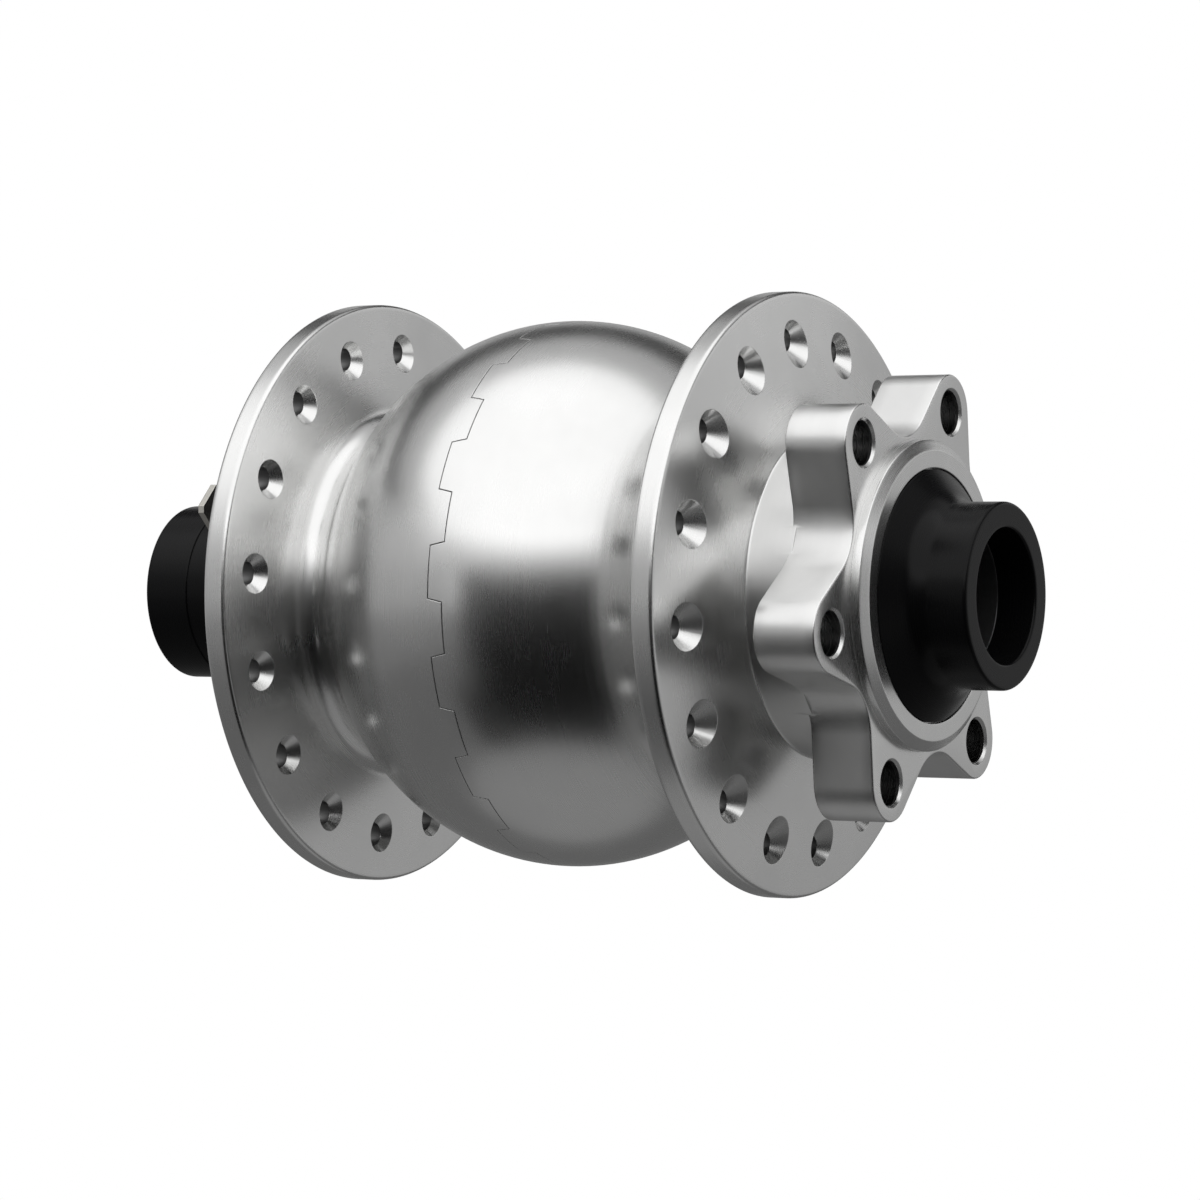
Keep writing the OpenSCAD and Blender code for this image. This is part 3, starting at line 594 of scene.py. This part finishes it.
def outer_corners(seam_y):
    """The outer profile that both halves share, from the seam to the foot of the boss."""
    barrel_end = FILLET_Y * BARREL_ARC_R / (BARREL_ARC_R + NECK_FILLET_R)
    line = arc_points(BARREL_ARC_R, seam_y, barrel_end, BARREL_STEPS)
    # the neck's concave fillet, from the barrel round to the flange's inner face
    start = math.atan2(-FILLET_Y, ARC_X - FILLET_X)
    end = math.pi / 2 + math.atan2(RIM_IN_Y - NECK_Y, FLANGE_R - FILLET_X)
    for k in range(1, FILLET_STEPS + 1):
        t = start + 2 * math.pi + (end - start - 2 * math.pi) * k / FILLET_STEPS
        line.append((FILLET_X + NECK_FILLET_R * math.cos(t), FILLET_Y + NECK_FILLET_R * math.sin(t), 0.0))
    line += [(FLANGE_R, RIM_IN_Y, RIM_EDGE_R), (FLANGE_R, RIM_OUT_Y, RIM_EDGE_R),
             (BOSS_R, BOSS_Y, BOSS_FOOT_R)]
    return line


def cavity_corners(seam_y, tunnel_end):
    """The inner profile, from the end of the bearing's tunnel back to the seam."""
    arc_r = BARREL_ARC_R - SHELL_WALL
    mouth = math.sqrt(arc_r ** 2 - (TUNNEL_R - ARC_X) ** 2)
    seat = math.sqrt(arc_r ** 2 - (RING_SEAT_R - ARC_X) ** 2)
    line = [(TUNNEL_R, tunnel_end, 0.0)]
    line += arc_points(arc_r, mouth, RING_HALF, CAVITY_STEPS)
    line += [(RING_SEAT_R, RING_HALF, 0.0)]
    line += arc_points(arc_r, seat, seam_y, RING_STEPS)
    return line


def lobe_star():
    """The six lobes that carry the brake disc, with rounded edges at the front and the back."""
    half = 180.0 / BOLTS
    tip_x = LOBE_REACH_R - LOBE_TIP_R
    valley_x = VALLEY_BOTTOM_R + VALLEY_R
    valley = Vector((valley_x * math.cos(math.radians(half)), valley_x * math.sin(math.radians(half))))
    reach = valley - Vector((tip_x, 0.0))
    lean = math.atan2(reach.y, reach.x) - math.acos((LOBE_TIP_R + VALLEY_R) / reach.length)
    outline = []
    tip_steps = 22
    valley_steps = 16
    flat_steps = 5
    edge_steps = 4
    for k in range(BOLTS):
        turn = math.radians(k * 2 * half)
        for i in range(tip_steps + 1):
            t = -lean + 2 * lean * i / tip_steps
            outline.append((tip_x, 0.0, LOBE_TIP_R, t, turn, 1.0))
        first = math.pi + lean
        last = 2 * math.radians(half) + math.pi - lean
        for i in range(valley_steps + 1):
            t = first + (last - first) * i / valley_steps
            outline.append((valley.x, valley.y, VALLEY_R, t, turn, -1.0))
    rows = []
    edge = LOBE_EDGE_R
    for i in range(edge_steps + 1):
        t = math.pi / 2 * i / edge_steps
        rows.append((edge * (1 - math.sin(t)), LOBE_BACK_Y + edge * (1 - math.cos(t))))
    for i in range(1, flat_steps):
        rows.append((0.0, LOBE_BACK_Y + edge + (LOBE_FRONT_Y - LOBE_BACK_Y - 2 * edge) * i / flat_steps))
    for i in range(edge_steps + 1):
        t = math.pi / 2 * i / edge_steps
        rows.append((edge * (1 - math.cos(t)), LOBE_FRONT_Y - edge * (1 - math.sin(t))))
    corners = []
    for inset, y in rows:
        for cx, cy, radius, t, turn, sense in outline:
            r = radius - sense * inset
            x = cx + r * math.cos(t)
            up = cy + r * math.sin(t)
            reach_r = math.hypot(x, up)
            corners.append(around(BOLT_PHASE + math.degrees(math.atan2(up, x) + turn), reach_r, y))
    return stacked("lobe star", corners, len(outline))


def bolt_drills():
    """The cutters for the threaded holes, with a small chamfer at each mouth."""
    profile = [(THREAD_R, LOBE_BACK_Y - OVER), (THREAD_R, LOBE_FRONT_Y - BOLT_CHAMFER),
               (THREAD_R + BOLT_CHAMFER + OVER, LOBE_FRONT_Y + OVER)]
    return [drill(BOLT_PHASE + k * 360.0 / BOLTS, BOLT_CIRCLE_R, profile) for k in range(BOLTS)]


def smooth(piece, sharpest=32.0):
    """Smooth shading, with a sharp edge wherever two faces meet at more than this angle."""
    piece.data.shade_smooth()
    piece.data.set_sharp_from_angle(angle=math.radians(sharpest))


def finish_faces(piece, finish, wanted):
    """Gives a finish to those faces of a piece whose centre, in millimetres, and normal pass a test."""
    piece.data.materials.append(finish)
    slot = len(piece.data.materials) - 1
    for face in piece.data.polygons:
        if wanted(face.center / MM, face.normal):
            face.material_index = slot


def hole_walls(first_angle, count, circle_r, hole_r):
    """A test for the walls of a ring of holes that run parallel to the hub's axis."""
    axes = [around(first_angle + k * 360.0 / count, circle_r, 0.0) / MM for k in range(count)]

    def wanted(point, normal):
        if abs(normal.y) > WALL_LEAN:
            return False
        for axis in axes:
            inward = Vector((axis.x - point.x, 0.0, axis.z - point.z))
            on_the_wall = WALL_NEAR * hole_r < inward.length < WALL_FAR * hole_r
            if on_the_wall and inward.normalized().dot(normal) > WALL_FACING:
                return True
        return False

    return wanted


def milled_side(point, normal):
    """A test for the sides of the disc side's boss and lobes."""
    outside = math.hypot(point.x, point.z) > BOSS_R - SIDE_ROOM
    return outside and BOSS_Y < point.y < LOBE_FRONT_Y and abs(normal.y) < SIDE_LEAN


def dress(piece, body, slot, *replaced):
    """Gives a piece its finish, and lets it stand for CAD nodes on a body."""
    piece.data.materials.clear()
    piece.data.materials.append(MATERIALS[slot])
    smooth(piece)
    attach(piece, body)
    if replaced:
        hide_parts(*replaced)


def make_right_shell():
    """Disc side half of the shell: flange, barrel half, boss, lobes and the ring that centres the disc."""
    lap_y = LOBE_BACK_Y + STAR_LAP
    corners = outer_corners(SEAM_LOW)
    corners += [(BOSS_R, lap_y, 0.0), (VALLEY_BOTTOM_R - STAR_COVER, lap_y, 0.0)]
    corners += CENTRING_RING + RIGHT_SEAT + cavity_corners(SEAM_LOW, RIGHT_TUNNEL_END)
    shell = lathe("right_shell_turned", supported(rounded(corners)), SHELL_STEPS)
    star = lobe_star()
    bore = [(STAR_BORE_R, LOBE_BACK_Y - OVER), (STAR_BORE_R, LOBE_FRONT_Y + OVER)]
    applied(star, drill(0.0, 0.0, bore, SHELL_STEPS))
    applied(shell, star, "UNION")
    applied(shell, joined(tooth_gaps() + spoke_drills(RIGHT_PHASE, 1.0) + bolt_drills()))
    dress(shell, "hub", "shell_alloy", "right_shell")
    finish_faces(shell, MILLED_FINISH, milled_side)
    # the holes' walls get a darker grey that paints the shade inside the holes
    finish_faces(shell, HOLE_WALL_PAINTED_SHADE, hole_walls(BOLT_PHASE, BOLTS, BOLT_CIRCLE_R, THREAD_R))
    finish_faces(shell, HOLE_WALL_PAINTED_SHADE, hole_walls(RIGHT_PHASE, SPOKES, SPOKE_CIRCLE_R, SPOKE_HOLE_R))


def make_left_shell():
    """Connector side half of the shell: flange, barrel half with the sockets, and the longer boss."""
    start = SEAM_GAP - SEAM_HIGH
    corners = outer_corners(start)
    corners += LEFT_RIM + LEFT_SEAT + cavity_corners(start, LEFT_TUNNEL_END)
    shell = lathe("left_shell_turned", supported(rounded(corners)), SHELL_STEPS, -1.0)
    applied(shell, joined(tooth_sockets() + spoke_drills(LEFT_PHASE, -1.0)))
    dress(shell, "hub", "shell_alloy", "left_shell")
    # the holes' walls get a darker grey that paints the shade inside the holes
    finish_faces(shell, HOLE_WALL_PAINTED_SHADE, hole_walls(LEFT_PHASE, SPOKES, SPOKE_CIRCLE_R, SPOKE_HOLE_R))


def make_end_caps():
    """Both end caps: the disc side's with its cone, the connector side's with the step into the fork."""
    for name, section, side in (("right", RIGHT_CAP, 1.0), ("left", LEFT_CAP, -1.0)):
        line = supported(rounded(section + CAP_BORE, CAP_CORNER_STEPS))
        cap = lathe(name + "_cap_turned", line, CAP_STEPS, side)
        dress(cap, "axle", "black_alloy", name + "_end_cap")


# Threads of the disc bolts, by Geometry Nodes


def thread_tree():
    """One helical ridge, set into every bolt hole."""
    tree = bpy.data.node_groups.new("disc bolt threads", "GeometryNodeTree")
    tree.interface.new_socket("Threads", in_out="OUTPUT", socket_type="NodeSocketGeometry")
    for label, kind in (("Bolts", "Int"), ("Circle Radius", "Float"), ("First Angle", "Float"),
                        ("Outer Radius", "Float"), ("Depth", "Float"), ("Pitch", "Float"), ("Turns", "Float"),
                        ("Start", "Float"), ("Painted Shade Material", "Material")):
        tree.interface.new_socket(label, in_out="INPUT", socket_type="NodeSocket" + kind)
    given = add(tree, "NodeGroupInput").outputs
    spiral = add(tree, "GeometryNodeCurveSpiral")
    spiral.inputs["Resolution"].default_value = RIDGE_STEPS
    feed(tree, spiral.inputs["Rotations"], given["Turns"])
    feed(tree, spiral.inputs["Start Radius"], given["Outer Radius"])
    feed(tree, spiral.inputs["End Radius"], given["Outer Radius"])
    feed(tree, spiral.inputs["Height"], maths(tree, "MULTIPLY", given["Turns"], given["Pitch"]))
    upright = add(tree, "GeometryNodeSetCurveNormal", mode="Z_UP")
    feed(tree, upright.inputs["Curve"], spiral.outputs["Curve"])
    # the ridge's section: broad at the wall of the hole, with a narrow crest towards the bolt
    section = add(tree, "GeometryNodeCurvePrimitiveQuadrilateral", mode="POINTS")
    broad = maths(tree, "MULTIPLY", given["Pitch"], RIDGE_FOOT)
    crest = maths(tree, "MULTIPLY", given["Pitch"], RIDGE_CREST)
    sunk = maths(tree, "MULTIPLY", given["Depth"], RIDGE_SUNK)
    deep = maths(tree, "MULTIPLY", given["Depth"], -1.0)
    broad_low = maths(tree, "MULTIPLY", broad, -1.0)
    crest_low = maths(tree, "MULTIPLY", crest, -1.0)
    for label, out, high in (("Point 1", sunk, broad_low), ("Point 2", sunk, broad), ("Point 3", deep, crest),
                             ("Point 4", deep, crest_low)):
        place = add(tree, "ShaderNodeCombineXYZ")
        feed(tree, place.inputs["X"], out)
        feed(tree, place.inputs["Y"], high)
        feed(tree, section.inputs[label], place.outputs[0])
    ridge = add(tree, "GeometryNodeCurveToMesh")
    ridge.inputs["Fill Caps"].default_value = True
    feed(tree, ridge.inputs["Curve"], upright.outputs["Curve"])
    feed(tree, ridge.inputs["Profile Curve"], section.outputs["Curve"])
    raised = add(tree, "GeometryNodeTransform")
    feed(tree, raised.inputs["Geometry"], ridge.outputs["Mesh"])
    lift = add(tree, "ShaderNodeCombineXYZ")
    feed(tree, lift.inputs["Z"], given["Start"])
    feed(tree, raised.inputs["Translation"], lift.outputs[0])
    circle = add(tree, "GeometryNodeMeshCircle")
    feed(tree, circle.inputs["Vertices"], given["Bolts"])
    feed(tree, circle.inputs["Radius"], given["Circle Radius"])
    turned = add(tree, "GeometryNodeTransform")
    feed(tree, turned.inputs["Geometry"], circle.outputs["Mesh"])
    phase = add(tree, "ShaderNodeCombineXYZ")
    feed(tree, phase.inputs["Z"], given["First Angle"])
    feed(tree, turned.inputs["Rotation"], phase.outputs[0])
    placed = add(tree, "GeometryNodeInstanceOnPoints")
    feed(tree, placed.inputs["Points"], turned.outputs["Geometry"])
    feed(tree, placed.inputs["Instance"], raised.outputs["Geometry"])
    # drawn along Z, then laid along the hub's axis
    laid = add(tree, "GeometryNodeTransform")
    feed(tree, laid.inputs["Geometry"], placed.outputs["Instances"])
    laid.inputs["Rotation"].default_value = (-math.pi / 2, 0.0, 0.0)
    real = add(tree, "GeometryNodeRealizeInstances")
    feed(tree, real.inputs["Geometry"], laid.outputs["Geometry"])
    # the ridges take the thread's dark material, which paints the shade inside the bolt holes
    with_painted_shade = add(tree, "GeometryNodeSetMaterial")
    feed(tree, with_painted_shade.inputs["Geometry"], real.outputs["Geometry"])
    feed(tree, with_painted_shade.inputs["Material"], given["Painted Shade Material"])
    feed(tree, add(tree, "NodeGroupOutput").inputs["Threads"], with_painted_shade.outputs["Geometry"])
    return tree


def make_threads():
    """The M5 threads in the disc bolts' holes."""
    made = new_object("disc_bolt_threads", bpy.data.meshes.new("disc_bolt_threads"))
    tree = thread_tree()
    change = made.modifiers.new("threads", "NODES")
    change.node_group = tree
    sizes = {
        "Bolts": BOLTS,
        "Circle Radius": BOLT_CIRCLE_R * MM,
        "First Angle": math.radians(BOLT_PHASE - 90.0),
        "Outer Radius": THREAD_R * MM,
        "Depth": THREAD_DEPTH * MM,
        "Pitch": THREAD_PITCH * MM,
        "Turns": (LOBE_FRONT_Y - LOBE_BACK_Y - THREAD_END_GAPS) / THREAD_PITCH,
        "Start": (LOBE_BACK_Y + THREAD_BACK_GAP) * MM,
        # the thread's dark grey is painted shade of the bolt holes
        "Painted Shade Material": THREAD_PAINTED_SHADE,
    }
    for item in tree.interface.items_tree:
        if item.in_out == "INPUT":
            change[item.identifier] = sizes[item.name]
    graph = bpy.context.evaluated_depsgraph_get()
    mesh = bpy.data.meshes.new_from_object(made.evaluated_get(graph))
    made.modifiers.clear()
    face_outwards(mesh)
    made.data = mesh
    smooth(made)
    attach(made, "hub")


# Studio: a soft box overhead, grey cards round the sides and below, and a black flag below the camera.
# Places are in metres, azimuths and elevations in degrees.

WHITE = (1.0, 1.0, 1.0, 1.0)
AMBIENT = 0.35

# The floor, with the distance from which it turns white towards its edge, and its glow before that
FLOOR_Z = -0.3
FLOOR_R = 1.42
FLOOR_STEPS = 96
FLOOR_GREY = 0.85
FADE_R = 0.45
FLOOR_GLOW = 0.3

# Heights of the cards, their farthest distance, the borders of the ground cards, and the degrees to a facet
CARD_Z = -0.28
CEILING_Z = 1.4
CARD_R = 3.0
BELOW_R = 0.17
NEAR_R = 0.75
CARD_FACET = 6

# The black flag lies over the ground cards in three layers
EDGE_Z = CARD_Z + 0.005
WING_Z = CARD_Z + 0.007
FLAG_Z = CARD_Z + 0.01

# Lamps: centre, radius and brightness
LAMPS = {
    "overhead": ((0.95, 0.3, 0.75), 1.7, 0.44),
    "overhead middle": ((0.95, 0.3, 0.74), 1.25, 0.83),
}

# Cards: azimuths, profile as (distance, height) pairs, and level
CARDS = {
    "ceiling": ((-180, 180), [(0.0, CEILING_Z), (CARD_R, CEILING_Z)], 0.015),
    "ground below": ((-180, 180), [(0.0, CARD_Z), (BELOW_R, CARD_Z)], 0.25),
    "ground near": ((-180, 180), [(BELOW_R, CARD_Z), (NEAR_R, CARD_Z)], 0.13),
    "ground far": ((-100, 180), [(NEAR_R, CARD_Z), (CARD_R, CARD_Z)], 0.2),
    "ground rear": ((-180, -100), [(NEAR_R, CARD_Z), (CARD_R, CARD_Z)], 0.37),
}
FLAGS = {
    "flag edge": ((71, 157), [(0.16, EDGE_Z), (1.0, EDGE_Z), (1.0, 0.17)], 0.03),
    "flag near": ((61, 80), [(0.17, WING_Z), (0.42, WING_Z)], 0.01),
    "flag": ((79, 151), [(0.2, FLAG_Z), (0.9, FLAG_Z), (0.9, 0.12)], 0.002),
}

# Bands of cards at the farthest distance: azimuths, elevations and level
BANDS = {
    "backdrop low": ((-100, -20), (-6, 9), 0.35),
    "backdrop middle": ((-100, 20), (9, 26), 0.45),
    "side low": ((-20, 66), (-6, 9), 0.39),
    "side middle": ((20, 148), (9, 26), 0.48),
    "rear low": ((-124, -100), (-6, 12), 0.42),
    "rear left low": ((-180, -124), (-6, 12), 0.52),
    "rear middle": ((-180, -100), (12, 26), 0.68),
    "right": ((148, 180), (-6, 26), 0.06),
}


def card(name, azimuths, profile, level):
    """A camera-hidden reflector swept round the hub. profile holds (distance, height) pairs."""
    steps = max(2, int(abs(azimuths[1] - azimuths[0]) / CARD_FACET))
    corners = []
    for k in range(steps + 1):
        toward = direction(azimuths[0] + (azimuths[1] - azimuths[0]) * k / steps, 0)
        for distance, height in profile:
            corners.append((toward.x * distance, toward.y * distance, height))
    row = len(profile)
    faces = []
    for k in range(steps):
        for i in range(row - 1):
            first = k * row + i
            faces.append((first, first + 1, first + row + 1, first + row))
    mesh = bpy.data.meshes.new(name)
    mesh.from_pydata(corners, [], faces)
    made = new_object(name, mesh)
    paint = bpy.data.materials.new(name)
    paint.use_nodes = True
    tree = paint.node_tree
    tree.nodes.clear()
    glow = add(tree, "ShaderNodeEmission")
    glow.inputs["Color"].default_value = (level, level, level, 1.0)
    feed(tree, add(tree, "ShaderNodeOutputMaterial").inputs["Surface"], glow.outputs[0])
    mesh.materials.append(paint)
    made.visible_camera = False
    made.visible_shadow = False


def band(name, azimuths, elevations, level):
    """A card round the hub between two azimuths and two elevations, in degrees."""
    heights = [max(CARD_Z, CARD_R * math.tan(math.radians(e))) for e in elevations]
    card(name, azimuths, [(CARD_R, heights[0]), (CARD_R, heights[1])], level)


def soft_disc(name, centre, radius, radiance):
    """A round area lamp of a given brightness that shines straight down."""
    lamp = bpy.data.lights.new(name, "AREA")
    lamp.shape = "DISK"
    lamp.size = 2 * radius
    lamp.energy = math.pi * radiance * math.pi * radius ** 2
    made = new_object(name, lamp)
    made.location = centre
    made.visible_camera = False


def make_world(ambient):
    """White for the camera, and a plain ambient level for everything else."""
    world = bpy.data.worlds.new("studio")
    bpy.context.scene.world = world
    world.use_nodes = True
    tree = world.node_tree
    tree.nodes.clear()
    rays = add(tree, "ShaderNodeLightPath")
    seen = maths(tree, "MAXIMUM", rays.outputs["Is Camera Ray"], rays.outputs["Is Glossy Ray"])
    seen = maths(tree, "MAXIMUM", seen, rays.outputs["Is Transmission Ray"])
    back = add(tree, "ShaderNodeBackground")
    back.inputs["Color"].default_value = WHITE
    feed(tree, back.inputs["Strength"], ramp(tree, seen, 0.0, 1.0, ambient, 1.0))
    feed(tree, add(tree, "ShaderNodeOutputWorld").inputs["Surface"], back.outputs[0])


def make_floor():
    """A plain pale round floor that keeps the hub's shadow and turns white towards its edge."""
    rim = [direction(360.0 * k / FLOOR_STEPS, 0) * FLOOR_R for k in range(FLOOR_STEPS)]
    mesh = bpy.data.meshes.new("floor")
    mesh.from_pydata([(p.x, p.y, FLOOR_Z) for p in rim], [], [tuple(range(FLOOR_STEPS))])
    floor = new_object("floor", mesh)
    paint = bpy.data.materials.new("floor")
    paint.use_nodes = True
    tree = paint.node_tree
    shader = tree.nodes["Principled BSDF"]
    shader.inputs["Base Color"].default_value = (FLOOR_GREY, FLOOR_GREY, FLOOR_GREY, 1.0)
    shader.inputs["Roughness"].default_value = 0.9
    shader.inputs["Specular IOR Level"].default_value = 0.0
    shader.inputs["Emission Color"].default_value = WHITE
    away = add(tree, "ShaderNodeVectorMath", operation="LENGTH")
    feed(tree, away.inputs[0], add(tree, "ShaderNodeTexCoord").outputs["Object"])
    glow = ramp(tree, away.outputs["Value"], FADE_R, FLOOR_R, FLOOR_GLOW, 1.0)
    rays = add(tree, "ShaderNodeLightPath")
    glow = maths(tree, "MULTIPLY", rays.outputs["Is Camera Ray"], glow)
    feed(tree, shader.inputs["Emission Strength"], glow)
    mesh.materials.append(paint)


def make_camera():
    """The camera of the photograph."""
    lens = bpy.data.cameras.new("camera")
    lens.sensor_width = SENSOR_WIDTH
    lens.lens = CAMERA_LENS
    lens.clip_start = 0.01
    lens.clip_end = 50.0
    camera = new_object("camera", lens)
    back = direction(CAMERA_AZIMUTH, CAMERA_ELEVATION)
    camera.location = CAMERA_AIM + back * CAMERA_DISTANCE
    camera.rotation_mode = "QUATERNION"
    camera.rotation_quaternion = (-back).to_track_quat("-Z", "Y")
    bpy.context.scene.camera = camera


def make_studio():
    """The world, the floor, the lamps, and the cards round the hub."""
    make_world(AMBIENT)
    make_floor()
    for name, (centre, radius, radiance) in LAMPS.items():
        soft_disc(name, centre, radius, radiance)
    for name, (azimuths, profile, level) in CARDS.items():
        card(name, azimuths, profile, level)
    for name, (azimuths, elevations, level) in BANDS.items():
        band(name, azimuths, elevations, level)
    for name, (azimuths, profile, level) in FLAGS.items():
        card(name, azimuths, profile, level)


dress_cad_nodes()
make_right_shell()
make_left_shell()
make_end_caps()
make_threads()
make_camera()
make_studio()

scene = bpy.context.scene
scene.view_settings.view_transform = "Standard"
